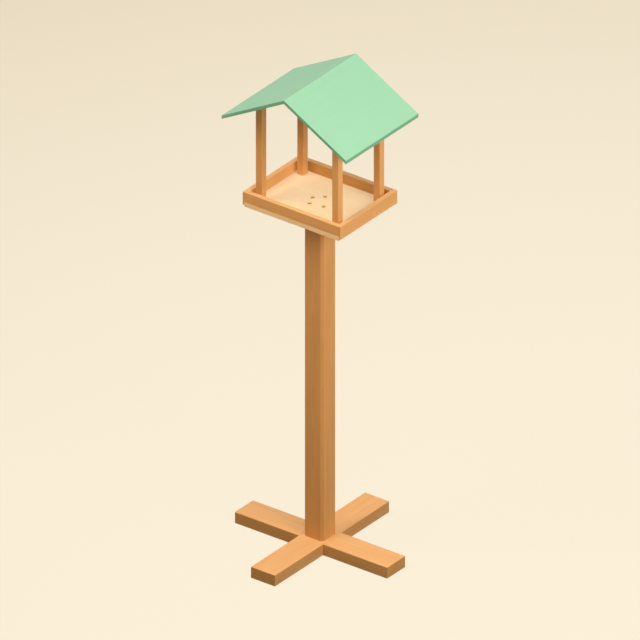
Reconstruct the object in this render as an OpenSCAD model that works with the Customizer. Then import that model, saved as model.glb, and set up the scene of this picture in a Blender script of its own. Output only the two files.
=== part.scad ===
// Bird table on a post: a half-lapped cross base, a square post with bevelled corners,
// a plywood tray with a timber rim, four roof posts and a two-board gable roof.
// Millimetres, +Z up. The origin is on the ground, on the axis of the post.
// The ridge of the roof runs along Y, and the tray is longer along X.

/* [Cross base] */
// Length of each cross board
cross_l = 600; // [420:10:900]
// Width of each cross board
cross_w = 95; // [90:1:140]
// Thickness of each cross board
cross_t = 40; // [30:1:60]

/* [Post] */
// Width of the square post
post_w = 75; // [62:1:89]
// Length of the post, from the cross to the tray floor
post_l = 1187; // [600:1:1600]
// Bevel along each upright corner of the post
post_bevel = 8; // [3:0.5:12]

/* [Tray] */
// Length of the tray along X, over the end boards
tray_l = 385; // [320:1:520]
// Width of the tray along Y, over the front and back boards
tray_w = 300; // [250:1:420]
// Thickness of the plywood floor
floor_t = 15.5; // [12:0.5:24]
// Thickness of the rim boards
rim_t = 17; // [12:0.5:24]
// Height of the rim above the floor
rim_h = 36; // [20:1:70]
// Thickness of the lip of an end board, outside the end of the floor
lip_t = 6; // [4:0.5:9]
// How far the lip of an end board covers the end of the floor
lip_drop = 10; // [6:0.5:11]
// Gap between each end of the floor and the lip outside it
floor_end_gap = 0.2; // [0.1:0.1:0.5]

/* [Roof posts] */
// Width of each square roof post
roof_post_w = 24; // [18:1:32]
// Length of a roof post on its centre line
roof_post_l = 351.5; // [250:0.5:450]
// Gap between a roof post and the end board beside it
roof_post_end_gap = 13; // [0:0.5:30]
// Gap between a roof post and the front or back board beside it
roof_post_side_gap = 12; // [0:0.5:30]

/* [Roof] */
// Slope of the roof, in degrees
roof_pitch = 29; // [15:1:40]
// Thickness of the roof boards
roof_t = 11; // [8:0.5:20]
// How far the eaves reach past the end boards, along X
eave_overhang = 52.5; // [20:0.5:90]
// How far the roof reaches past the front and back boards, along Y
gable_overhang = 40.5; // [10:0.5:80]

/* [Floor screws] */
// Diameter of the domed heads
dome_head_d = 12; // [9:0.5:13]
// Height of the domed heads
dome_head_h = 4.6; // [2:0.1:5.5]
// Diameter of the shanks
floor_screw_d = 5; // [3.5:0.5:6]
// Length under the head
floor_screw_l = 60; // [40:1:90]
// Least distance from a screw's axis to the side of the post
floor_screw_edge = 6; // [5:0.5:9]

/* [Roof post screws] */
// Diameter of the flat heads
post_screw_head_d = 8; // [7:0.5:10]
// Diameter of the shanks
post_screw_d = 4; // [3:0.5:5]
// Length, over the head
post_screw_l = 50; // [35:1:80]

/* [Base screws] */
// Diameter of the flat heads
base_screw_head_d = 12; // [9:0.5:14]
// Diameter of the shanks
base_screw_d = 6; // [4:0.5:8]
// Length, over the head
base_screw_l = 95; // [80:1:140]
// Distance between neighbouring screws
base_screw_pitch = 42; // [30:1:46]

/* [Screw fits] */
// Gap around each shank and each flat head
screw_clear = 0.15; // [0.05:0.05:0.3]
// Depth of each flat head below the surface
head_sink = 0.6; // [0.2:0.1:1.5]
// Width of the driver slots
slot_w = 1.4; // [0.8:0.1:2]
// Depth of the driver slots
slot_d = 1.3; // [0.6:0.1:1.6]

/* [Hidden] */
$fn = 48;

timber = [0.76, 0.50, 0.28];
plywood = [0.93, 0.75, 0.54];
mint = [0.55, 0.79, 0.64];
brass = [0.72, 0.58, 0.22];

// How far a cut runs past the face that it opens
past = 1;
// How far the driver slots turn from one flat-head screw to the next
slot_turn = 55;

// Heights, from the ground up
lap_z = cross_t / 2;
floor_z = cross_t + post_l;
tray_z = floor_z + floor_t;
lip_z = tray_z - lip_drop;
rim_top_z = tray_z + rim_h;

// Places on the plan
end_board_x = tray_l / 2 - rim_t / 2;
side_board_y = tray_w / 2 - rim_t / 2;
side_board_l = tray_l - 2 * rim_t;
floor_l = tray_l - 2 * (lip_t + floor_end_gap);
roof_post_x = tray_l / 2 - rim_t - roof_post_end_gap - roof_post_w / 2;
roof_post_y = tray_w / 2 - rim_t - roof_post_side_gap - roof_post_w / 2;
corners = [[-1, -1], [1, -1], [-1, 1], [1, 1]];

// Roof lines: the underside meets each roof post's centre line at the post's length
roof_slope = tan(roof_pitch);
roof_plumb_t = roof_t / cos(roof_pitch);
ridge_under_z = tray_z + roof_post_l + roof_post_x * roof_slope;
eave_x = tray_l / 2 + eave_overhang;
roof_l = tray_w + 2 * gable_overhang;

// The floor screws stand inside the post, turned on the plan and set by hand, a little out of square.
// Each place is a share of the way from the post's axis to the least edge distance.
floor_screw_reach = post_w / 2 - floor_screw_edge;
floor_screw_spots = [[-1, 0.12], [-0.11, 0.99], [-0.55, -1], [1, -0.72]];
floor_screw_turns = [25, 70, 110, 160];

// A flat head is a cone that runs down to the shank at 45 degrees
function flat_head_h(head_d, shank_d) = (head_d - shank_d) / 2;
function under_roof_z(x) = ridge_under_z - abs(x) * roof_slope;

// A board standing on z, centred on x and y
module board(size_x, size_y, size_z, z) {
    translate([-size_x / 2, -size_y / 2, z])
        cube([size_x, size_y, size_z]);
}

// A square post with its four upright corners cut off at 45 degrees
module bevelled_post(w, bevel, l) {
    h = w / 2;
    b = h - bevel;
    linear_extrude(height = l)
        polygon([[h, b], [b, h], [-b, h], [-h, b], [-h, -b], [-b, -h], [b, -h], [h, -b]]);
}

// A slot across the top of a screw head whose highest point is at z = 0, cut downwards
module driver_slot(head_d) {
    translate([-head_d, -slot_w / 2, -slot_d])
        cube([2 * head_d, slot_w, slot_d + past]);
}

// A round-head screw: the dome stands on z = 0 and the shank hangs below it
module dome_screw(turn) {
    dome_r = (pow(dome_head_d / 2, 2) + pow(dome_head_h, 2)) / (2 * dome_head_h);
    difference() {
        union() {
            intersection() {
                translate([0, 0, dome_head_h - dome_r])
                    sphere(r = dome_r);
                cylinder(h = dome_head_h + past, d = dome_head_d + past);
            }
            translate([0, 0, -floor_screw_l])
                cylinder(h = floor_screw_l + dome_head_h / 4, d = floor_screw_d);
        }
        translate([0, 0, dome_head_h])
            rotate([0, 0, turn])
                driver_slot(dome_head_d);
    }
}

// A flat-head screw that points up: the head's face is at z = 0
module flat_screw(head_d, shank_d, l, turn) {
    difference() {
        union() {
            cylinder(h = flat_head_h(head_d, shank_d), d1 = head_d, d2 = shank_d);
            cylinder(h = l, d = shank_d);
        }
        rotate([180, 0, turn])
            driver_slot(head_d);
    }
}

// The hole that a flat-head screw fills, open downwards past the surface
module flat_screw_hole(head_d, shank_d, l) {
    wide = head_d / 2 + screw_clear;
    narrow = shank_d / 2 + screw_clear;
    cylinder(h = wide - narrow, r1 = wide, r2 = narrow);
    cylinder(h = l + screw_clear, r = narrow);
    translate([0, 0, -head_sink - past])
        cylinder(h = head_sink + past, r = wide);
}

module at_base_screw(k) {
    translate([corners[k][0] * base_screw_pitch / 2, corners[k][1] * base_screw_pitch / 2, head_sink])
        children();
}

module at_roof_post(k) {
    translate([corners[k][0] * roof_post_x, corners[k][1] * roof_post_y, 0])
        children();
}

module at_floor_screw(k) {
    spot = floor_screw_reach * floor_screw_spots[k];
    translate([spot[0], spot[1], tray_z])
        children();
}

module base_screw_holes() {
    for (k = [0:3])
        at_base_screw(k)
            flat_screw_hole(base_screw_head_d, base_screw_d, base_screw_l);
}

module floor_screw_holes() {
    for (k = [0:3])
        at_floor_screw(k)
            translate([0, 0, -floor_screw_l - screw_clear])
                cylinder(h = floor_screw_l + screw_clear + past, d = floor_screw_d + 2 * screw_clear);
}

module roof_post_screw_hole(k) {
    at_roof_post(k)
        translate([0, 0, floor_z + head_sink])
            flat_screw_hole(post_screw_head_d, post_screw_d, post_screw_l);
}

// The board along Y is uppermost: its lap is cut from below, and the board along X's from above
module cross_board_x() {
    color(timber)
        difference() {
            board(cross_l, cross_w, cross_t, 0);
            board(cross_w, cross_w + 2 * past, cross_t, lap_z);
            base_screw_holes();
        }
}

module cross_board_y() {
    color(timber)
        difference() {
            board(cross_w, cross_l, cross_t, 0);
            board(cross_w + 2 * past, cross_w, cross_t, lap_z - cross_t);
            base_screw_holes();
        }
}

module post() {
    color(timber)
        difference() {
            translate([0, 0, cross_t])
                bevelled_post(post_w, post_bevel, post_l);
            base_screw_holes();
            floor_screw_holes();
        }
}

module tray_floor() {
    color(plywood)
        difference() {
            board(floor_l, tray_w, floor_t, floor_z);
            floor_screw_holes();
            for (k = [0:3])
                roof_post_screw_hole(k);
        }
}

// A front or back board stands on the floor, between the end boards
module side_board(side) {
    color(timber)
        translate([0, side * side_board_y, 0])
            board(side_board_l, rim_t, rim_h, tray_z);
}

// An end board is rebated over the end of the floor, and its lip covers part of the plywood's edge
module end_board(side) {
    color(timber)
        difference() {
            translate([side * end_board_x, 0, 0])
                board(rim_t, tray_w, rim_h + lip_drop, lip_z);
            board(tray_l - 2 * lip_t, tray_w + 2 * past, lip_drop + past, lip_z - past);
        }
}

// A roof post's top is cut to the slope of the roof
module roof_post(k) {
    side = corners[k][0];
    near = roof_post_x - roof_post_w / 2;
    far = roof_post_x + roof_post_w / 2;
    outline = [[near, tray_z], [far, tray_z], [far, under_roof_z(far)], [near, under_roof_z(near)]];
    color(timber)
        difference() {
            translate([0, corners[k][1] * roof_post_y, 0])
                rotate([90, 0, 0])
                    linear_extrude(height = roof_post_w, center = true)
                        polygon([for (p = outline) [side * p[0], p[1]]]);
            roof_post_screw_hole(k);
        }
}

// A roof board is cut plumb at the eave and at the ridge, where it meets the other
module roof_board(side) {
    outline = [
        [0, ridge_under_z],
        [eave_x, under_roof_z(eave_x)],
        [eave_x, under_roof_z(eave_x) + roof_plumb_t],
        [0, ridge_under_z + roof_plumb_t]
    ];
    color(mint)
        rotate([90, 0, 0])
            linear_extrude(height = roof_l, center = true)
                polygon([for (p = outline) [side * p[0], p[1]]]);
}

module floor_screw(k) {
    color(brass)
        at_floor_screw(k)
            dome_screw(floor_screw_turns[k]);
}

module roof_post_screw(k) {
    color(brass)
        at_roof_post(k)
            translate([0, 0, floor_z + head_sink])
                flat_screw(post_screw_head_d, post_screw_d, post_screw_l, slot_turn * k);
}

module base_screw(k) {
    color(brass)
        at_base_screw(k)
            flat_screw(base_screw_head_d, base_screw_d, base_screw_l, slot_turn * k);
}

cross_board_x();
cross_board_y();
post();
tray_floor();
side_board(-1);  // rim_front
side_board(1);  // rim_back
end_board(-1);  // rim_left
end_board(1);  // rim_right
roof_post(0);  // roof_post_front_left
roof_post(1);  // roof_post_front_right
roof_post(2);  // roof_post_back_left
roof_post(3);  // roof_post_back_right
roof_board(-1);  // roof_board_left
roof_board(1);  // roof_board_right
floor_screw(0);  // floor_screw_1
floor_screw(1);  // floor_screw_2
floor_screw(2);  // floor_screw_3
floor_screw(3);  // floor_screw_4
roof_post_screw(0);  // roof_post_screw_front_left
roof_post_screw(1);  // roof_post_screw_front_right
roof_post_screw(2);  // roof_post_screw_back_left
roof_post_screw(3);  // roof_post_screw_back_right
base_screw(0);  // base_screw_1
base_screw(1);  // base_screw_2
base_screw(2);  // base_screw_3
base_screw(3);  // base_screw_4
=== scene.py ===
"""Looks of a garden bird table: a cross base, a bevelled post, a plywood tray with a timber rim,
four roof posts, two painted roof boards and brass screws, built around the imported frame.

Lengths are in metres and +Z is up. Places come from the boxes of the frame's own nodes.
"""
import math

import bpy
import numpy as np
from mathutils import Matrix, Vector


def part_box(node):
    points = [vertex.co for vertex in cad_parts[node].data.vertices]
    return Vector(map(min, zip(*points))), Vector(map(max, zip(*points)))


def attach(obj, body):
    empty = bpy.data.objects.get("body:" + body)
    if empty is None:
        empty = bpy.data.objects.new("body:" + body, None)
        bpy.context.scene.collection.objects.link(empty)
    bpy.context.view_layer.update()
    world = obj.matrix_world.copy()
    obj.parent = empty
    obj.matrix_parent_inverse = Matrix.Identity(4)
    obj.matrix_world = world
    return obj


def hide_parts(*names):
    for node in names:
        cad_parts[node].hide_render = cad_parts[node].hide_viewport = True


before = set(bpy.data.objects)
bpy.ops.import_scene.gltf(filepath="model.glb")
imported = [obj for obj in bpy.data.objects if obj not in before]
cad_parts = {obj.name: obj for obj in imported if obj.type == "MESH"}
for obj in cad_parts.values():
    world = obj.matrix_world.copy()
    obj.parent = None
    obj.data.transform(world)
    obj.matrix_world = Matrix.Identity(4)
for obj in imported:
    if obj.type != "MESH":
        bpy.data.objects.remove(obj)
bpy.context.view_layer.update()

# Edge work: how far planing and sanding ease the edges of each kind of piece, the points across
# an eased edge, the part of its radius that a corner keeps at a rounded end (one over this), and
# the angle in degrees from which an edge is shaded as a crease
BOARD_EASE = 0.0012
SLIM_EASE = 0.0009
POST_EASE = 0.0010
JOINT_EASE = 0.0002
PLY_EASE = 0.0006
ROOF_EASE = 0.0008
EASE_STEPS = 5
LEAST_CORNER_PART = 6
SHARP_ANGLE = 48

# Sizes that the boxes of the nodes don't give, and the turns of the screws' slots in degrees
POST_BEVEL = 0.008
FLOOR_END_GAP = 0.0002
HEAD_SINK = 0.0006
SCREW_CLEAR = 0.00015
SLOT_WIDTH = 0.0014
SLOT_REACH = SLOT_WIDTH * 6
SLOT_DEPTH = 0.0013
FLOOR_SCREW_SHANK = 0.0025
ROOF_SCREW_SHANK = 0.002
BASE_SCREW_SHANK = 0.003
FLOOR_SCREW_TURNS = (25, 70, 110, 160)
FLAT_SCREW_TURN = 55

# Screws: the sides of their circles, and the points along a thread's pitch and up a domed head
SCREW_SIDES = 32
PITCH_STEPS = 6
CAP_STEPS = 14

# Threads: pitch, depth and the length of the point as multiples of the shank's radius, and how
# blunt the point is
THREAD_PITCH = 0.9
THREAD_DEPTH = 0.28
POINT_LENGTH = 3
POINT_BLUNTNESS = 0.08

# Screw heads: a domed head's underside as a share of its radius, and the parts of a head's radius
# (one over these) that its closing spot in the middle and a flat head's thin edge take
UNDERSIDE_SHARE = 0.985
MIDDLE_PART = 50
EDGE_PART = 30

# Plywood: how many layers, and how deep the glue lines lie in its edge
PLY_COUNT = 11
GLUE_LINE_DEPTH = 0.00012

# The two axes of a section's plane and the axis that it is carried along, and the way to each side
X, Y, Z = 0, 1, 2
PLANES = {"yz": (Y, Z, X), "xz": (X, Z, Y), "xy": (X, Y, Z)}
SIDES = {"left": -1, "right": 1}

# Finishes, as linear colours. Those of timber, plywood and paint aren't a free choice: they come from
# a fit made by another program, rounded to two digits or moved along with it
TIMBER_PALE = (0.75, 0.39, 0.15)
TIMBER_DARK = (0.59, 0.29, 0.09)
TIMBER_RAW = (0.80, 0.47, 0.21)
# How dark the stout pieces, the rim boards and the slim roof posts are: above zero is darker. The rim
# boards and roof posts stand under the roof and are written paler than the stout pieces, as painted light
# where the roof shades them. The back rim board is written darker, as painted shade
STOUT_TONE = 0.2
RIM_PAINTED_LIGHT_TONES = {"front": -0.15, "back": 0.3, "left": -0.15, "right": -0.15}
SLIM_PAINTED_LIGHT_TONE = -0.2
VENEER_PALE = (0.92, 0.66, 0.40)
VENEER_DARK = (0.86, 0.58, 0.33)
VENEER_CUT = (0.88, 0.62, 0.36)
MINT = (0.24, 0.51, 0.34)
# The edge colour below is painted shade: the roof boards' edges are written darker, in place of the shade
# on faces turned from the light
MINT_EDGE_PAINTED_SHADE = (0.15, 0.40, 0.27)
MINT_RUBBED = (0.30, 0.57, 0.39)
BRASS = (0.74, 0.52, 0.18)
# The dull brass colour serves two purposes: patina in patches, and painted shade down towards a head's
# rim
BRASS_PATINA_AND_PAINTED_SHADE = (0.26, 0.16, 0.03)

# Timber as it was sawn: growth rings to the metre, how far at most the pith lies beyond a face of
# each kind of piece, how far at most it lies to one side as a share of half the width, the metres
# of log that a piece may come from, and how far at most a piece's tone strays from its kind's
RINGS_A_METRE = 300.0
BOARD_PITH = 0.05
POST_PITH = 0.02
SLIM_PITH = 0.03
PITH_ASIDE = 0.6
LOG_LENGTH = 50
TONE_SCATTER = 0.04

rng = np.random.default_rng(29)


# ---------------------------------------------------------------- surfaces

def new_piece(name, points, faces):
    """An object from an array of points and a list of faces, in place."""
    mesh = bpy.data.meshes.new(name)
    mesh.from_pydata(points.tolist(), [], faces)
    piece = bpy.data.objects.new(name, mesh)
    bpy.context.scene.collection.objects.link(piece)
    return piece


def set_values(piece, name, kind, domain, values):
    """Stores one value for each point or face of the piece, for its material to read."""
    data = piece.data.attributes.new(name, kind, domain)
    field = "vector" if kind == "FLOAT_VECTOR" else "value"
    data.data.foreach_set(field, np.asarray(values, np.float32).ravel())


def points_of(piece):
    """The points of a piece, as an array."""
    points = np.empty(3 * len(piece.data.vertices), np.float32)
    piece.data.vertices.foreach_get("co", points)
    return points.reshape(-1, 3)


def move_points(piece, points):
    """Puts the points of a piece at new places."""
    piece.data.vertices.foreach_set("co", np.asarray(points, np.float32).ravel())
    piece.data.update()


def stacked(name, rings):
    """A closed surface over a grid of points, where rings[i, j] is point j of ring i.

    Each square joins point j and the next one round ring i to the same two points of ring i + 1,
    and one flat face closes each end.
    """
    count, around = rings.shape[:2]
    here = np.arange(around)
    after = np.roll(here, -1)
    first = np.arange(count - 1)[:, None] * around
    squares = np.stack([first + here, first + after, first + around + after, first + around + here], -1)
    ends = [here[::-1].tolist(), (here + (count - 1) * around).tolist()]
    return new_piece(name, rings.reshape(-1, 3), squares.reshape(-1, 4).tolist() + ends)


def outline(corners, inset, radius):
    """Points round a polygon whose sides lie inset further in and whose corners are eased.

    A corner moves in along the sum of the inward normals of its two sides, over one plus their dot
    product, times inset. It is then drawn as the parabola (1-s)^2 A + 2s(1-s) P + s^2 B, where P is
    the corner, A and B lie radius away from it along its two sides, and s runs from 0 to 1.
    """
    side = np.roll(corners, -1, 0) - corners
    side = side / np.linalg.norm(side, axis=1)[:, None]
    inward = np.stack([-side[:, 1], side[:, 0]], 1)
    before = np.roll(inward, 1, 0)
    mitre = (before + inward) / (1 + (before * inward).sum(1))[:, None]
    moved = corners + inset * mitre
    s = np.linspace(0, 1, EASE_STEPS)[None, :, None]
    start = (moved - radius[:, None] * np.roll(side, 1, 0))[:, None]
    end = (moved + radius[:, None] * side)[:, None]
    points = (1 - s) ** 2 * start + 2 * s * (1 - s) * moved[:, None] + s ** 2 * end
    return points.reshape(-1, 2)


def carried(name, plane, corners, low, high, ease, corner_ease, grooves=()):
    """A piece of one section: a polygon in a plane, carried straight from low to high.

    Each end is rounded over by a quarter circle of radius ease: at angle a the outline lies
    ease (1 - sin a) further in, and ease (1 - cos a) away from the end. A groove is a place along
    the way where the outline lies GLUE_LINE_DEPTH further in. How worn a point is runs from 0 to 1
    to 0 across each eased corner, as 4s(1-s), and across each rounded end, as sin 2a. The corners
    run anticlockwise as seen from the far end, turned round if need be, so that the faces look
    outwards.
    """
    first, second, along = PLANES[plane]
    corners = np.array(corners, float)
    radius = np.broadcast_to(corner_ease, len(corners)).astype(float)
    if plane == "xz":
        first, second = second, first
        corners = corners[:, ::-1]
    following = np.roll(corners, -1, 0)
    if (corners[:, 0] * following[:, 1] - following[:, 0] * corners[:, 1]).sum() < 0:
        corners = corners[::-1]
        radius = radius[::-1]
    angle = np.linspace(0, math.pi / 2, EASE_STEPS)
    inset = ease * (1 - np.sin(angle))
    step = ease * (1 - np.cos(angle))
    groove_step = np.tile([-1, 0, 1], len(grooves)) * GLUE_LINE_DEPTH
    groove_place = np.repeat(np.asarray(grooves, float), 3) + groove_step
    groove_inset = np.tile([0, 1, 0], len(grooves)) * GLUE_LINE_DEPTH
    place = np.concatenate([low + step, groove_place, high - step[::-1]])
    insets = np.concatenate([inset, groove_inset, inset[::-1]])
    end_worn = np.concatenate([np.sin(2 * angle), 0 * groove_place, np.sin(2 * angle[::-1])])
    least = radius / LEAST_CORNER_PART
    sections = np.array([outline(corners, i, np.maximum(radius - i, least)) for i in insets])
    rings = np.empty(sections.shape[:2] + (3,))
    rings[:, :, first] = sections[:, :, 0]
    rings[:, :, second] = sections[:, :, 1]
    rings[:, :, along] = place[:, None]
    piece = stacked(name, rings)
    s = np.tile(np.linspace(0, 1, EASE_STEPS), len(corners))
    set_values(piece, "worn", "FLOAT", "POINT", np.maximum(end_worn[:, None], 4 * s * (1 - s)))
    return piece


def turned(name, radius, height, centre):
    """A turned shape: the points (radius, height), spun once about the upright axis at centre.

    radius may be a grid, one value for each height and angle, for a shape that isn't quite round.
    """
    angle = np.arange(SCREW_SIDES) * 2 * math.pi / SCREW_SIDES
    radius = np.asarray(radius, float).reshape(len(height), -1)
    rings = np.empty((len(height), SCREW_SIDES, 3))
    rings[:, :, 0] = centre[0] + radius * np.cos(angle)
    rings[:, :, 1] = centre[1] + radius * np.sin(angle)
    rings[:, :, 2] = centre[2] + np.asarray(height, float)[:, None]
    return stacked(name, rings)


def cut(piece, cutters):
    """Takes the shapes of the cutters out of the piece, and removes the cutters."""
    for cutter in cutters:
        modifier = piece.modifiers.new("cut", "BOOLEAN")
        modifier.object = cutter
        modifier.operation = "DIFFERENCE"
        modifier.solver = "EXACT"
    bpy.context.view_layer.update()
    shape = piece.evaluated_get(bpy.context.evaluated_depsgraph_get())
    mesh = bpy.data.meshes.new_from_object(shape)
    piece.modifiers.clear()
    piece.data = mesh
    for cutter in cutters:
        bpy.data.objects.remove(cutter)
    return piece


def rectangle(low, high):
    """The four corners of a rectangle."""
    return [(low[0], low[1]), (high[0], low[1]), (high[0], high[1]), (low[0], high[1])]


# ---------------------------------------------------------------- sizes from the frame

def node_box(name):
    """Lowest and highest corner of a node, as arrays."""
    low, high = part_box(name)
    return np.array(low), np.array(high)


def axis_of(name, z=0.0):
    """The point at height z on an upright screw's axis."""
    low, high = node_box(name)
    return ((low[0] + high[0]) / 2, (low[1] + high[1]) / 2, z)


floor_low, floor_high = node_box("tray_floor")
end_low, end_high = node_box("rim_right")
slim_low, slim_high = node_box("roof_post_front_right")
roof_low, roof_high = node_box("roof_board_right")

# The roof's underside falls evenly from the ridge, over each roof post's inner top edge, to the eave
roof_slope = (slim_high[2] - roof_low[2]) / (roof_high[0] - slim_low[0])
ridge_under_z = slim_high[2] + slim_low[0] * roof_slope
roof_plumb = roof_high[2] - ridge_under_z

BASE_SCREWS = ["base_screw_" + str(k) for k in (1, 2, 3, 4)]
FLOOR_SCREWS = ["floor_screw_" + str(k) for k in (1, 2, 3, 4)]
CORNERS = [depth + "_" + width for depth in ("front", "back") for width in ("left", "right")]


# ---------------------------------------------------------------- screws and their holes

def flat_hole(screw, shank):
    """The hole of a flat-head screw that points up: a recess, a cone at 45 degrees and a bore.

    The recess starts below the piece's face, so that it cuts right through it.
    """
    low, high = node_box(screw)
    wide = (high - low)[0] / 2 + SCREW_CLEAR
    narrow = shank + SCREW_CLEAR
    height = [-3 * HEAD_SINK, 0, wide - narrow, (high - low)[2] + SCREW_CLEAR]
    return turned("hole", [wide, wide, narrow, narrow], height, axis_of(screw, low[2]))


def dome_hole(screw):
    """The bore of a domed screw, from below its tip to the top of its head."""
    low, high = node_box(screw)
    radius = FLOOR_SCREW_SHANK + SCREW_CLEAR
    return turned("hole", [radius, radius], [low[2] - SCREW_CLEAR, high[2]], axis_of(screw))


def driver_slot(screw, turn, low_z, high_z):
    """A straight slot across a head: a long block from low_z to high_z, turned about the axis."""
    centre = axis_of(screw)
    block = rectangle((-SLOT_REACH, -SLOT_WIDTH / 2), (SLOT_REACH, SLOT_WIDTH / 2))
    slot = carried("slot", "xy", block, low_z, high_z, SLOT_WIDTH / 8, SLOT_WIDTH / 10)
    x, y, z = points_of(slot).T
    angle = math.radians(turn)
    turned_x = centre[0] + x * math.cos(angle) - y * math.sin(angle)
    turned_y = centre[1] + x * math.sin(angle) + y * math.cos(angle)
    move_points(slot, np.stack([turned_x, turned_y, z], 1))
    return slot


def threaded(start, length, shank):
    """Heights and radii of a threaded shank that runs from start to a point at length.

    The crest keeps the shank's radius and falls to a point over its last few radii. The first
    third is plain. Past it, the radius is the crest times 1 - depth (1 - cos p) / 2, where p turns
    once for each pitch along the shank and once round it.
    """
    pitch = THREAD_PITCH * shank
    height = np.linspace(start, length, int((length - start) / pitch * PITCH_STEPS))[:, None]
    angle = np.arange(SCREW_SIDES)[None, :] * 2 * math.pi / SCREW_SIDES
    crest = shank * np.minimum(1, (length - height) / (POINT_LENGTH * shank) + POINT_BLUNTNESS)
    depth = THREAD_DEPTH * np.clip((height - start - (length - start) / 3) / shank, 0, 1)
    groove = (1 - np.cos(2 * math.pi * height / pitch - angle)) / 2
    return height[:, 0], crest * (1 - depth * groove)


def all_round(radius):
    """The same radius at every angle, for each height."""
    return np.broadcast_to(np.asarray(radius)[:, None], (len(radius), SCREW_SIDES))


def dome_screw(name, node, turn):
    """A round-head screw: its head is a cap of a sphere, on a threaded shank that points down.

    The cap of height h and radius a belongs to a sphere of radius (a^2 + h^2) / 2h.
    """
    low, high = node_box(node)
    cap_radius = (high - low)[0] / 2
    cap_height = high[2] - floor_high[2]
    sphere = (cap_radius ** 2 + cap_height ** 2) / (2 * cap_height)
    rise = cap_height * (1 - np.linspace(0.98, 0, CAP_STEPS) ** 2)
    cap = np.sqrt(sphere ** 2 - (rise - cap_height + sphere) ** 2)
    cap[-1] = cap_radius / MIDDLE_PART
    shank_height, shank_radius = threaded(0, floor_high[2] - low[2], FLOOR_SCREW_SHANK)
    height = np.concatenate([-shank_height[::-1], [0], rise])
    underside = all_round([UNDERSIDE_SHARE * cap_radius])
    radius = np.concatenate([shank_radius[::-1], underside, all_round(cap)])
    screw = turned(name, radius, height, axis_of(node, floor_high[2]))
    return cut(screw, [driver_slot(node, turn, high[2] - SLOT_DEPTH, high[2] + SLOT_DEPTH)])


def flat_screw(name, node, shank, turn):
    """A flat-head screw that points up: a flat face, a cone at 45 degrees and a threaded shank."""
    low, high = node_box(node)
    head = (high - low)[0] / 2
    edge = head / EDGE_PART
    shank_height, shank_radius = threaded(head - shank + edge, (high - low)[2], shank)
    height = np.concatenate([[0, 0, edge / 3, edge], shank_height])
    face = all_round([head / MIDDLE_PART, head - edge, head - edge / 4, head])
    screw = turned(name, np.concatenate([face, shank_radius]), height, axis_of(node, low[2]))
    return cut(screw, [driver_slot(node, turn, low[2] - SLOT_DEPTH, low[2] + SLOT_DEPTH)])


# ---------------------------------------------------------------- timber, plywood and roof shapes

def cross_board(name, node, plane, lap_from_top):
    """A board of the cross: where it laps the other, half of its thickness is cut away."""
    high = node_box(node)[1]
    run, across = PLANES[plane][0], PLANES[plane][2]
    half, lap, top = high[run], high[across], high[2]
    right = [(half, 0), (half, top), (lap, top), (lap, top / 2)]
    corners = right + [(-r, z) for r, z in right[::-1]]
    if not lap_from_top:
        corners = [(r, top - z) for r, z in corners]
    lap_ease = [BOARD_EASE, BOARD_EASE, JOINT_EASE, JOINT_EASE]
    board = carried(name, plane, corners, -lap, lap, BOARD_EASE, lap_ease + lap_ease[::-1])
    return cut(board, [flat_hole(screw, BASE_SCREW_SHANK) for screw in BASE_SCREWS])


def bevelled_post(name, node):
    """The square post, its four upright corners cut off at 45 degrees, with its screw holes."""
    low, high = node_box(node)
    half = high[0]
    flat = half - POST_BEVEL
    corners = [(half, flat), (flat, half), (-flat, half), (-half, flat)]
    corners += [(-x, -y) for x, y in corners]
    post = carried(name, "xy", corners, low[2], high[2], JOINT_EASE, POST_EASE)
    holes = [flat_hole(screw, BASE_SCREW_SHANK) for screw in BASE_SCREWS]
    return cut(post, holes + [dome_hole(screw) for screw in FLOOR_SCREWS])


def plywood_floor(name, node):
    """The tray's floor: a plywood sheet with its glue lines in its edge, and its screw holes."""
    low, high = node_box(node)
    glue_lines = np.linspace(low[2], high[2], PLY_COUNT + 1)[1:-1]
    sheet = carried(name, "xy", rectangle(low, high), low[2], high[2], PLY_EASE, PLY_EASE, glue_lines)
    holes = [flat_hole("roof_post_screw_" + corner, ROOF_SCREW_SHANK) for corner in CORNERS]
    return cut(sheet, holes + [dome_hole(screw) for screw in FLOOR_SCREWS])


def side_board(name, node):
    """The front or back board of the rim, between the end boards."""
    low, high = node_box(node)
    ease = [JOINT_EASE, JOINT_EASE, SLIM_EASE, SLIM_EASE]
    return carried(name, "yz", rectangle(low[1:], high[1:]), low[0], high[0], JOINT_EASE, ease)


def end_board(name, node, side):
    """An end board of the rim: it is rebated over the end of the floor, and leaves a lip outside."""
    low, high = node_box(node)
    outer, inner, lip = end_high[0], end_low[0], floor_high[0] + FLOOR_END_GAP
    seat = floor_high[2]
    corners = [(outer, low[2]), (outer, high[2]), (inner, high[2])]
    corners += [(inner, seat), (lip, seat), (lip, low[2])]
    ease = [SLIM_EASE, SLIM_EASE, SLIM_EASE, JOINT_EASE, JOINT_EASE, JOINT_EASE]
    return carried(name, "xz", [(side * x, z) for x, z in corners], low[1], high[1], SLIM_EASE, ease)


def roof_post(name, node, corner):
    """A slim square post whose top is cut to the roof: z falls by the slope times the way outwards.

    The cut is made by moving each point down by its share of the height.
    """
    low, high = node_box(node)
    post = carried(name, "xy", rectangle(low, high), low[2], high[2], JOINT_EASE, SLIM_EASE)
    points = points_of(post)
    share = (points[:, 2] - low[2]) / (high[2] - low[2])
    outwards = np.abs(points[:, 0]) - np.abs([low[0], high[0]]).min()
    points[:, 2] -= share * outwards * roof_slope
    move_points(post, points)
    return cut(post, [flat_hole("roof_post_screw_" + corner, ROOF_SCREW_SHANK)])


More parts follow.
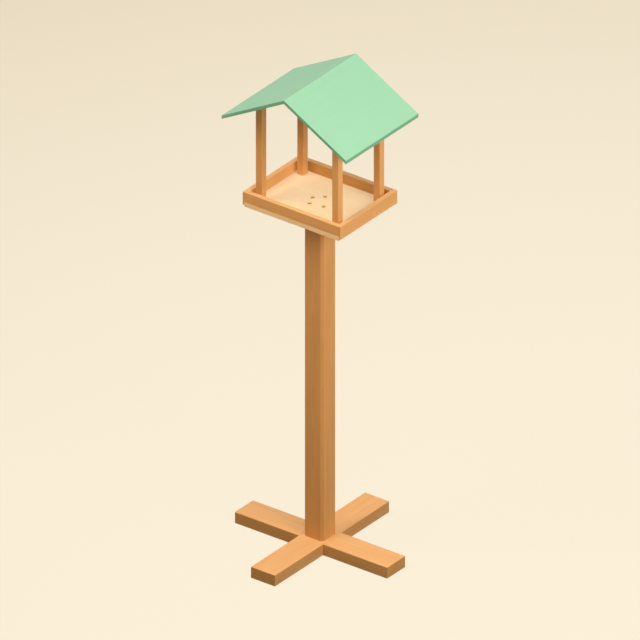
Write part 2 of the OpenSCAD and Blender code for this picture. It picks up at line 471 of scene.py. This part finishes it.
def roof_board(name, node, side):
    """A sloping roof board, cut plumb at the eave and at the ridge, where it meets the other."""
    low, high = node_box(node)
    eave = roof_high[0]
    eave_z = ridge_under_z - eave * roof_slope
    corners = [(0, ridge_under_z), (eave, eave_z), (eave, eave_z + roof_plumb), (0, high[2])]
    ease = [JOINT_EASE, ROOF_EASE, ROOF_EASE, JOINT_EASE]
    return carried(name, "xz", [(side * x, z) for x, z in corners], low[1], high[1], ROOF_EASE, ease)


# ---------------------------------------------------------------- material nodes

def add(tree, kind, inputs, **settings):
    """Adds a node with its settings. Each input is a value, or another node's output to link."""
    node = tree.nodes.new(kind)
    for key, value in settings.items():
        setattr(node, key, value)
    for socket, value in inputs.items():
        if isinstance(value, bpy.types.NodeSocket):
            tree.links.new(value, node.inputs[socket])
        else:
            node.inputs[socket].default_value = value
    return node


def sum_of(tree, operation, *values):
    """The outcome of a sum on numbers, such as ADD or MULTIPLY."""
    return add(tree, "ShaderNodeMath", dict(enumerate(values)), operation=operation).outputs[0]


def mixed(tree, share, first, second):
    """Two colours mixed: first at a share of 0 and second at 1."""
    ends = [(*colour, 1) if isinstance(colour, tuple) else colour for colour in (first, second)]
    return add(tree, "ShaderNodeMix", {0: share, 6: ends[0], 7: ends[1]}, data_type="RGBA").outputs[2]


def stored(tree, name, output="Fac"):
    """A value that the piece's points or faces hold."""
    return add(tree, "ShaderNodeAttribute", {}, attribute_name=name).outputs[output]


def scaled(tree, vector, factors):
    """A vector with its three parts multiplied."""
    return add(tree, "ShaderNodeVectorMath", {0: vector, 1: factors}, operation="MULTIPLY").outputs[0]


def noise(tree, vector, factors, detail, output="Fac"):
    """Even noise from 0 to 1, with factors waves to the metre along each axis."""
    inputs = {"Vector": scaled(tree, vector, factors), "Scale": 1.0, "Detail": detail, "Roughness": 0.55}
    return add(tree, "ShaderNodeTexNoise", inputs).outputs[output]


def sharpened(tree, value, low, high, out_low=0.0, out_high=1.0):
    """A number moved from the range low to high to the range out_low to out_high, smoothly."""
    inputs = {"Value": value, "From Min": low, "From Max": high, "To Min": out_low, "To Max": out_high}
    return add(tree, "ShaderNodeMapRange", inputs, interpolation_type="SMOOTHSTEP").outputs[0]


def new_material(name, **constants):
    """A material with its Principled shader, whose even inputs are set on the shader itself."""
    material = bpy.data.materials.new(name)
    material.use_nodes = True
    shader = material.node_tree.nodes["Principled BSDF"]
    for socket, value in constants.items():
        shader.inputs[socket.replace("_", " ")].default_value = value
    return material, material.node_tree, shader


def finish_shader(tree, shader, colour, roughness, height, depth):
    """Links colour and roughness, and a bump of the given height in metres."""
    bump = add(tree, "ShaderNodeBump", {"Height": height, "Distance": depth, "Strength": 1.0})
    tree.links.new(colour, shader.inputs["Base Color"])
    tree.links.new(roughness, shader.inputs["Roughness"])
    tree.links.new(bump.outputs[0], shader.inputs["Normal"])


def timber_finish():
    """Oiled softwood: growth rings round a pith that wanders, long fibres and paler rubbed edges.

    The grain coordinates hold the way along the board and the two distances from the pith, so the
    length of the last two is the ring's radius, and end grain shows the rings as arcs. Each pattern
    adds its own share of darkness, and the rings add more where the grain is cut across.
    """
    material, tree, shader = new_material("oiled_softwood", IOR=1.45, Specular_IOR_Level=0.25)
    grain = stored(tree, "grain", "Vector")
    wander = noise(tree, grain, (1.6, 9.0, 9.0), 2.0, "Color")
    moved = scaled(tree, wander, (0.0, 0.022, 0.022))
    placed = add(tree, "ShaderNodeVectorMath", {0: moved, 1: grain}, operation="ADD")
    flat = scaled(tree, placed.outputs[0], (0.0, 1.0, 1.0))
    radius = add(tree, "ShaderNodeVectorMath", {0: flat}, operation="LENGTH").outputs["Value"]
    uneven = add(tree, "ShaderNodeTexNoise", {"W": radius, "Scale": 90.0}, noise_dimensions="1D")
    ring = sum_of(tree, "ADD", sum_of(tree, "MULTIPLY", radius, RINGS_A_METRE), uneven.outputs["Fac"])
    late = sum_of(tree, "POWER", sum_of(tree, "FRACT", ring), 3.0)
    fibre = noise(tree, grain, (22.0, 900.0, 900.0), 3.0)
    streak = noise(tree, grain, (2.6, 75.0, 75.0), 3.0)
    cloud = noise(tree, grain, (3.0, 12.0, 12.0), 2.0)
    cut_end = stored(tree, "cut_end")
    ring_part = sum_of(tree, "MULTIPLY", late, sharpened(tree, cut_end, 0.3, 0.8, 0.26, 0.4))
    fibre_part = sum_of(tree, "MULTIPLY", sharpened(tree, fibre, 0.3, 0.7), 0.16)
    streak_part = sum_of(tree, "MULTIPLY", sharpened(tree, streak, 0.25, 0.75), 0.3)
    cloud_part = sum_of(tree, "MULTIPLY", sharpened(tree, cloud, 0.25, 0.75), 0.2)
    first = sum_of(tree, "ADD", ring_part, fibre_part)
    second = sum_of(tree, "ADD", streak_part, cloud_part)
    # The piece's tone adds to the darkness. For the rim boards and roof posts it holds painted light and
    # shade
    darkness = sum_of(tree, "ADD", sum_of(tree, "ADD", first, second), stored(tree, "tone"))
    wood = mixed(tree, darkness, TIMBER_PALE, TIMBER_DARK)
    rubbed = sharpened(tree, sum_of(tree, "MULTIPLY", stored(tree, "worn"), streak), 0.2, 0.7, 0.0, 0.5)
    colour = mixed(tree, rubbed, wood, TIMBER_RAW)
    roughness = sharpened(tree, sum_of(tree, "ADD", first, cut_end), 0.0, 1.2, 0.5, 0.66)
    finish_shader(tree, shader, colour, roughness, first, depth=0.0004)
    return material


def plywood_finish():
    """Pale plywood: long veneer grain on the faces, and layers that turn by 90 degrees in the edge.

    A layer's number is the height over the thickness, times the number of layers, rounded down.
    """
    material, tree, shader = new_material("pale_plywood", IOR=1.45, Specular_IOR_Level=0.25)
    place = add(tree, "ShaderNodeTexCoord", {}).outputs["Object"]
    height = add(tree, "ShaderNodeSeparateXYZ", {0: place}).outputs["Z"]
    from_below = sum_of(tree, "SUBTRACT", height, float(floor_low[2]))
    layer = sum_of(tree, "MULTIPLY", from_below, PLY_COUNT / float(floor_high[2] - floor_low[2]))
    turned_layer = sum_of(tree, "MODULO", sum_of(tree, "FLOOR", layer), 2.0)
    glue = sharpened(tree, sum_of(tree, "PINGPONG", layer, 0.5), 0.0, 0.09, 1.0, 0.0)
    grain = noise(tree, place, (5.0, 120.0, 120.0), 4.0)
    fibre = noise(tree, place, (30.0, 1100.0, 1100.0), 3.0)
    cloud = noise(tree, place, (6.0, 20.0, 20.0), 2.0)
    pores = noise(tree, place, (900.0, 900.0, 900.0), 2.0)
    wavy = sum_of(tree, "MULTIPLY", sharpened(tree, grain, 0.3, 0.7), 0.4)
    fine = sum_of(tree, "MULTIPLY", sharpened(tree, fibre, 0.3, 0.7), 0.2)
    soft = sum_of(tree, "MULTIPLY", sharpened(tree, cloud, 0.3, 0.7), 0.3)
    darkness = sum_of(tree, "ADD", sum_of(tree, "ADD", wavy, fine), soft)
    face = mixed(tree, darkness, VENEER_PALE, VENEER_DARK)
    end_grain = sum_of(tree, "MULTIPLY", turned_layer, sharpened(tree, pores, 0.2, 0.7, 0.35, 0.8))
    edge_share = sum_of(tree, "MAXIMUM", end_grain, sum_of(tree, "MULTIPLY", glue, 0.8))
    edge = mixed(tree, edge_share, face, VENEER_CUT)
    cut_end = sharpened(tree, stored(tree, "cut_end"), 0.3, 0.7)
    colour = mixed(tree, cut_end, face, edge)
    roughness = sharpened(tree, sum_of(tree, "ADD", fine, cut_end), 0.0, 1.2, 0.55, 0.75)
    finish_shader(tree, shader, colour, roughness, sum_of(tree, "ADD", wavy, fine), depth=0.00025)
    return material


def paint_finish():
    """Mint paint, brushed along the ridge: soft brush marks, slight clouds, board edges darkened as
    painted shade, and paler rubbed corners.
    """
    material, tree, shader = new_material("mint_paint", IOR=1.45)
    place = add(tree, "ShaderNodeTexCoord", {}).outputs["Object"]
    brush = noise(tree, place, (520.0, 7.0, 520.0), 3.0)
    broad = noise(tree, place, (60.0, 3.0, 60.0), 2.0)
    cloud = noise(tree, place, (9.0, 9.0, 9.0), 2.0)
    marks = sum_of(tree, "MULTIPLY", sharpened(tree, brush, 0.3, 0.7), 0.09)
    bands = sum_of(tree, "MULTIPLY", sharpened(tree, broad, 0.3, 0.7), 0.10)
    clouds = sum_of(tree, "MULTIPLY", sharpened(tree, cloud, 0.3, 0.7), 0.10)
    thin = sum_of(tree, "ADD", sum_of(tree, "ADD", marks, bands), clouds)
    # The boards' edges are darkened as painted shade, in place of the shade on faces turned from the
    # light
    edge = sharpened(tree, stored(tree, "cut_end"), 0.3, 0.7)
    painted = mixed(tree, edge, mixed(tree, thin, MINT, MINT_RUBBED), MINT_EDGE_PAINTED_SHADE)
    rubbed = sharpened(tree, sum_of(tree, "MULTIPLY", stored(tree, "worn"), cloud), 0.25, 0.6, 0.0, 0.5)
    colour = mixed(tree, rubbed, painted, MINT_RUBBED)
    roughness = sharpened(tree, brush, 0.2, 0.8, 0.42, 0.52)
    finish_shader(tree, shader, colour, roughness, sum_of(tree, "ADD", marks, bands), depth=0.0006)
    return material


def brass_finish():
    """Handled brass: bright where it is rubbed, browner in patches of patina, and darker down towards a
    head's rim as painted shade.
    """
    material, tree, shader = new_material("handled_brass", Metallic=1.0)
    place = add(tree, "ShaderNodeTexCoord", {}).outputs["Object"]
    patch = sharpened(tree, noise(tree, place, (350.0, 350.0, 350.0), 3.0), 0.5, 0.8, 0.0, 0.4)
    fine = noise(tree, place, (2500.0, 2500.0, 2500.0), 2.0)
    # Darker down towards a head's rim: painted shade
    rim_painted_shade = sharpened(tree, stored(tree, "crown"), 0.3, 0.95, 1.0, 0.0)
    patina_and_shade = sum_of(tree, "MAXIMUM", patch, rim_painted_shade)
    colour = mixed(tree, patina_and_shade, BRASS, BRASS_PATINA_AND_PAINTED_SHADE)
    roughness = sharpened(tree, patina_and_shade, 0.0, 1.0, 0.3, 0.55)
    finish_shader(tree, shader, colour, roughness, fine, depth=0.00003)
    return material


# ---------------------------------------------------------------- putting the table together

def give_grain(piece, along, across, pith, tone):
    """Tells the material how the board was sawn from its log.

    The grain coordinates are the way along the board, from a random start, and the distances from
    the pith, which lies beyond one of the board's two faces and a little to one side.
    """
    points = points_of(piece)
    through = 3 - along - across
    middle = (points.min(0) + points.max(0)) / 2
    half = (points.max(0) - points.min(0)) / 2
    aside = rng.uniform(-PITH_ASIDE, PITH_ASIDE) * half[across]
    depth = half[through] + rng.uniform(0.5, 1.0) * pith
    start = rng.uniform(0, LOG_LENGTH)
    grain = np.empty((len(points), 3))
    grain[:, 0] = points[:, along] + start
    grain[:, 1] = points[:, across] - middle[across] + aside
    grain[:, 2] = points[:, through] - middle[through] + depth * rng.choice([-1, 1])
    set_values(piece, "grain", "FLOAT_VECTOR", "POINT", grain)
    # A piece's tone is its kind's plus a random stray. For the rim boards and roof posts the kind's tone
    # is painted light and shade
    own_tone = tone + rng.uniform(-TONE_SCATTER, TONE_SCATTER)
    set_values(piece, "tone", "FLOAT", "POINT", np.full(len(points), own_tone))


def mark_cut_ends(piece, axis, across_axis):
    """Marks each face by how much of a cut end it is, from 0 to 1.

    A board's cut ends lie across its axis, the way of its grain. A sheet or a painted board has its
    broad faces across its axis, and its cut ends are the faces that run along it.
    """
    normals = np.empty(3 * len(piece.data.polygons), np.float32)
    piece.data.polygons.foreach_get("normal", normals)
    facing = np.abs(normals.reshape(-1, 3)[:, axis])
    set_values(piece, "cut_end", "FLOAT", "FACE", facing if across_axis else 1 - facing)


def fit_screw(piece, node, seat, crown):
    """Fits a brass screw, and tells its material how far each point has risen from seat to crown."""
    share = (points_of(piece)[:, 2] - seat) / (crown - seat)
    set_values(piece, "crown", "FLOAT", "POINT", np.clip(share, 0, 1))
    fit(piece, node, brass)


def fit(piece, node, material):
    """Shades the piece, and lets it ride with the table in the place of its node."""
    piece.data.materials.append(material)
    piece.data.polygons.foreach_set("use_smooth", np.ones(len(piece.data.polygons), bool))
    piece.data.set_sharp_from_angle(angle=math.radians(SHARP_ANGLE))
    shading = piece.modifiers.new("even_shading", "WEIGHTED_NORMAL")
    shading.keep_sharp = True
    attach(piece, "root")
    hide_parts(node)


def fit_timber(piece, node, along, across, pith, tone):
    """Fits a board of solid timber, with its grain along one axis and its width along another."""
    give_grain(piece, along, across, pith, tone)
    mark_cut_ends(piece, along, across_axis=True)
    fit(piece, node, timber)


timber = timber_finish()
plywood = plywood_finish()
paint = paint_finish()
brass = brass_finish()

lower_board = cross_board("lower_cross_board", "cross_board_x", "xz", True)
fit_timber(lower_board, "cross_board_x", X, Y, BOARD_PITH, STOUT_TONE)
upper_board = cross_board("upper_cross_board", "cross_board_y", "yz", False)
fit_timber(upper_board, "cross_board_y", Y, X, BOARD_PITH, STOUT_TONE)
fit_timber(bevelled_post("main_post", "post"), "post", Z, X, POST_PITH, STOUT_TONE)

tray = plywood_floor("plywood_tray_floor", "tray_floor")
mark_cut_ends(tray, Z, across_axis=False)
fit(tray, "tray_floor", plywood)

# The rim boards' tones are painted light where the roof shades them, and painted shade on the back board
for place in ("front", "back"):
    node = "rim_" + place
    rim_board = side_board(place + "_rim_board", node)
    fit_timber(rim_board, node, X, Z, SLIM_PITH, RIM_PAINTED_LIGHT_TONES[place])
for place in ("left", "right"):
    node = "rim_" + place
    rim_board = end_board(place + "_end_board", node, SIDES[place])
    fit_timber(rim_board, node, Y, Z, SLIM_PITH, RIM_PAINTED_LIGHT_TONES[place])
    node = "roof_board_" + place
    panel = roof_board(place + "_roof_board", node, SIDES[place])
    mark_cut_ends(panel, Z, across_axis=False)
    fit(panel, node, paint)
# The roof posts' tone is written paler, as painted light where the roof shades them
for corner in CORNERS:
    node = "roof_post_" + corner
    slim_post = roof_post(corner + "_roof_post", node, corner)
    fit_timber(slim_post, node, Z, X, SLIM_PITH, SLIM_PAINTED_LIGHT_TONE)

for k, node in enumerate(FLOOR_SCREWS):
    screw = dome_screw("brass_" + node, node, FLOOR_SCREW_TURNS[k])
    fit_screw(screw, node, floor_high[2], node_box(node)[1][2])
for k, node in enumerate(BASE_SCREWS):
    screw = flat_screw("brass_" + node, node, BASE_SCREW_SHANK, FLAT_SCREW_TURN * k)
    fit_screw(screw, node, node_box(node)[1][2], node_box(node)[0][2])
for k, corner in enumerate(CORNERS):
    node = "roof_post_screw_" + corner
    screw = flat_screw("brass_" + node, node, ROOF_SCREW_SHANK, FLAT_SCREW_TURN * k)
    fit_screw(screw, node, node_box(node)[1][2], node_box(node)[0][2])


# ---------------------------------------------------------------- camera, floor and lights

# The camera looks with parallel lines: 3 across to 4 along on the plan, and 29.24 degrees down.
# Its width is that of the whole view, and it aims at a point of the post's axis
CAMERA_TURN = math.atan2(3, 4)
CAMERA_FALL = math.radians(29.24)
CAMERA_WIDTH = 2.0166
CAMERA_AIM_Z = 0.8126
CAMERA_DISTANCE = 6.0
CAMERA_SIGHT = 60

# The pale floor is painted with a pool of light: it is brightest at the pool's heart, which lies beside
# the table, and falls off over its reach. It shows its own colour, apart from a small share that the
# lamps light, and that share holds the table's shadow. The pool's values come from a fit too, rounded
POOL_NEAR = (0.95, 0.85, 0.68)
POOL_FAR = (0.66, 0.56, 0.38)
POOL_HEART = (1.0, 0.25, 0.0)
POOL_REACH = 5.0
POOL_STEEPNESS = 3.5
FLOOR_LIT_SHARE = 0.08
FLOOR_RADIUS = 25.0
FLOOR_HUB_SHARE = 0.01
FLOOR_RINGS = 40
FLOOR_SIDES = 64

# The studio has two tints: a warm one for all its lights but two, and a cool one for those two.
# These tints, the floor's light and the lights' strengths come from a fit made by another program,
# rounded, and a search by such a program helped to pick the lights' directions. The strength of
# back_light was then raised a little, and low_fill, which the fit left out, was set on its own
WARM = (1.0, 0.87, 0.67)
COOL = (0.65, 0.80, 1.0)

# Light that the floor gives back to the table: its colour, its strength near the table and further
# out, the distances over which the one turns into the other, and the ring of floor that gives it,
# which starts between the first two distances and stops between the last two
FLOOR_TINT = (1.0, 0.80, 0.60)
GLOW_NEAR = 1.1
GLOW_FAR = 0.3
GLOW_CHANGE = (1.9, 2.1)
GLOW_RING = (0.95, 1.05, 3.9, 4.1)

# The height that all lights aim at, near the tray's
LAMP_AIM_Z = 1.2

# Soft boxes: turn from +X towards +Y and climb in degrees, distance and width in metres, tint, watts
SOFT_BOXES = {
    "front_lamp": (-125, 48, 4.5, 2.4, WARM, 115),
    "right_lamp": (-12, 28, 3.5, 1.6, WARM, 80),
}

# Wide lights: turn, climb and spread in degrees, tint, strength, and if they cast shadows, which
# the fills don't. Where they hang doesn't matter, only their direction
WIDE_LIGHT_DISTANCE = 5.0
WIDE_LIGHTS = {
    "top_light": (90, 90, 60, WARM, 1.0, True),
    "corner_light": (-45, 35, 45, WARM, 0.6, True),
    "back_light": (90, 12, 45, WARM, 0.7, True),
    "high_fill": (45, 60, 30, COOL, 1.3, False),
    "left_fill": (135, 20, 30, COOL, 0.5, False),
    "low_fill": (-90, -90, 30, WARM, 0.5, False),
}


def place_camera():
    """A parallel camera that looks down on the table from its front and right."""
    camera = bpy.data.objects.new("camera", bpy.data.cameras.new("camera"))
    bpy.context.scene.collection.objects.link(camera)
    camera.data.type = "ORTHO"
    camera.data.ortho_scale = CAMERA_WIDTH
    flat = math.cos(CAMERA_FALL)
    towards = Vector((math.sin(CAMERA_TURN) * flat, -math.cos(CAMERA_TURN) * flat, math.sin(CAMERA_FALL)))
    camera.location = Vector((0, 0, CAMERA_AIM_Z)) + CAMERA_DISTANCE * towards
    camera.rotation_euler = (-towards).to_track_quat("-Z", "Y").to_euler()
    camera.data.clip_end = CAMERA_SIGHT
    bpy.context.scene.camera = camera


def seen_directly(tree):
    """One where the camera, a reflection or a view through glass looks at the surface, else zero."""
    path = add(tree, "ShaderNodeLightPath", {})
    mirrored = sum_of(tree, "MAXIMUM", path.outputs["Is Glossy Ray"], path.outputs["Is Transmission Ray"])
    return sum_of(tree, "MAXIMUM", path.outputs["Is Camera Ray"], mirrored)


def mixed_shaders(tree, share, first, second):
    """Two shaders mixed: first at a share of 0 and second at 1."""
    inputs = {0: share, 1: first.outputs[0], 2: second.outputs[0]}
    return add(tree, "ShaderNodeMixShader", inputs)


def painted_pool_colour(tree, place):
    """The floor's colour, a painted pool of light: near and far mixed by 1 - exp(-(d / reach)^steepness)
    at a distance d.
    """
    away = add(tree, "ShaderNodeVectorMath", {0: place, 1: POOL_HEART}, operation="DISTANCE")
    share = sum_of(tree, "DIVIDE", away.outputs["Value"], POOL_REACH)
    share = sum_of(tree, "POWER", share, POOL_STEEPNESS)
    nearness = sum_of(tree, "EXPONENT", sum_of(tree, "MULTIPLY", share, -1.0))
    return mixed(tree, nearness, POOL_FAR, POOL_NEAR)


def ring_glow(tree, place):
    """The light that the floor gives back: none inside its ring or beyond it."""
    away = add(tree, "ShaderNodeVectorMath", {0: place}, operation="LENGTH").outputs["Value"]
    inner = sharpened(tree, away, GLOW_RING[0], GLOW_RING[1])
    ring = sum_of(tree, "MULTIPLY", inner, sharpened(tree, away, GLOW_RING[2], GLOW_RING[3], 1.0, 0.0))
    level = sharpened(tree, away, GLOW_CHANGE[0], GLOW_CHANGE[1], GLOW_NEAR, GLOW_FAR)
    strength = sum_of(tree, "MULTIPLY", ring, level)
    return add(tree, "ShaderNodeEmission", {"Color": (*FLOOR_TINT, 1), "Strength": strength})


def lay_floor():
    """A wide, round, pale floor that faces up, with a faint shadow. It is clear from below.

    Each square joins point j and the next one round ring i to the same two points of ring i + 1,
    and one flat face closes the middle.
    """
    rings = np.linspace(FLOOR_HUB_SHARE, 1, FLOOR_RINGS)[:, None] * FLOOR_RADIUS
    angle = np.arange(FLOOR_SIDES) * 2 * math.pi / FLOOR_SIDES
    points = np.zeros((FLOOR_RINGS, FLOOR_SIDES, 3))
    points[:, :, 0] = rings * np.cos(angle)
    points[:, :, 1] = rings * np.sin(angle)
    here = np.arange(FLOOR_SIDES)
    after = np.roll(here, -1)
    first = np.arange(FLOOR_RINGS - 1)[:, None] * FLOOR_SIDES
    beyond = first + FLOOR_SIDES
    squares = np.stack([first + here, beyond + here, beyond + after, first + after], -1)
    faces = squares.reshape(-1, 4).tolist() + [here.tolist()]
    floor = new_piece("floor", points.reshape(-1, 3), faces)
    material = bpy.data.materials.new("pale_floor")
    material.use_nodes = True
    tree = material.node_tree
    tree.nodes.clear()
    place = add(tree, "ShaderNodeTexCoord", {}).outputs["Object"]
    colour = painted_pool_colour(tree, place)
    bright = add(tree, "ShaderNodeEmission", {"Color": colour, "Strength": 1.0})
    matt = add(tree, "ShaderNodeBsdfDiffuse", {"Color": colour})
    shown = mixed_shaders(tree, FLOOR_LIT_SHARE, bright, matt)
    upper = mixed_shaders(tree, seen_directly(tree), ring_glow(tree, place), shown)
    clear = add(tree, "ShaderNodeBsdfTransparent", {})
    below = add(tree, "ShaderNodeNewGeometry", {}).outputs["Backfacing"]
    both = mixed_shaders(tree, below, upper, clear)
    add(tree, "ShaderNodeOutputMaterial", {"Surface": both.outputs[0]})
    floor.data.materials.append(material)


def light_world():
    """The backdrop's far colour where it is seen, and no light of its own."""
    world = bpy.data.worlds.new("studio")
    world.use_nodes = True
    tree = world.node_tree
    tree.nodes.clear()
    dark = add(tree, "ShaderNodeBackground", {"Color": (0, 0, 0, 1), "Strength": 1.0})
    shown = add(tree, "ShaderNodeBackground", {"Color": (*POOL_FAR, 1), "Strength": 1.0})
    both = mixed_shaders(tree, seen_directly(tree), dark, shown)
    add(tree, "ShaderNodeOutputWorld", {"Surface": both.outputs[0]})
    bpy.context.scene.world = world


def hang(lamp, turn, climb, distance):
    """Hangs a lamp at a distance from the middle of the tray, and aims it there."""
    holder = bpy.data.objects.new(lamp.name, lamp)
    bpy.context.scene.collection.objects.link(holder)
    flat = math.cos(math.radians(climb))
    across, along = flat * math.cos(math.radians(turn)), flat * math.sin(math.radians(turn))
    towards = Vector((across, along, math.sin(math.radians(climb))))
    holder.location = Vector((0, 0, LAMP_AIM_Z)) + distance * towards
    holder.rotation_euler = (-towards).to_track_quat("-Z", "Y").to_euler()


def light_table():
    """Two soft boxes that shape the table, wide lights that round it off, and shadowless fills."""
    for name, (turn, climb, distance, width, colour, power) in SOFT_BOXES.items():
        lamp = bpy.data.lights.new(name, "AREA")
        lamp.size = width
        lamp.color = colour
        lamp.energy = power
        hang(lamp, turn, climb, distance)
    for name, (turn, climb, spread, colour, strength, shadows) in WIDE_LIGHTS.items():
        lamp = bpy.data.lights.new(name, "SUN")
        lamp.angle = math.radians(spread)
        lamp.color = colour
        lamp.energy = strength
        lamp.use_shadow = shadows
        lamp.cycles.use_multiple_importance_sampling = shadows
        hang(lamp, turn, climb, WIDE_LIGHT_DISTANCE)


place_camera()
lay_floor()
light_world()
light_table()

bpy.context.scene.view_settings.view_transform = "Standard"
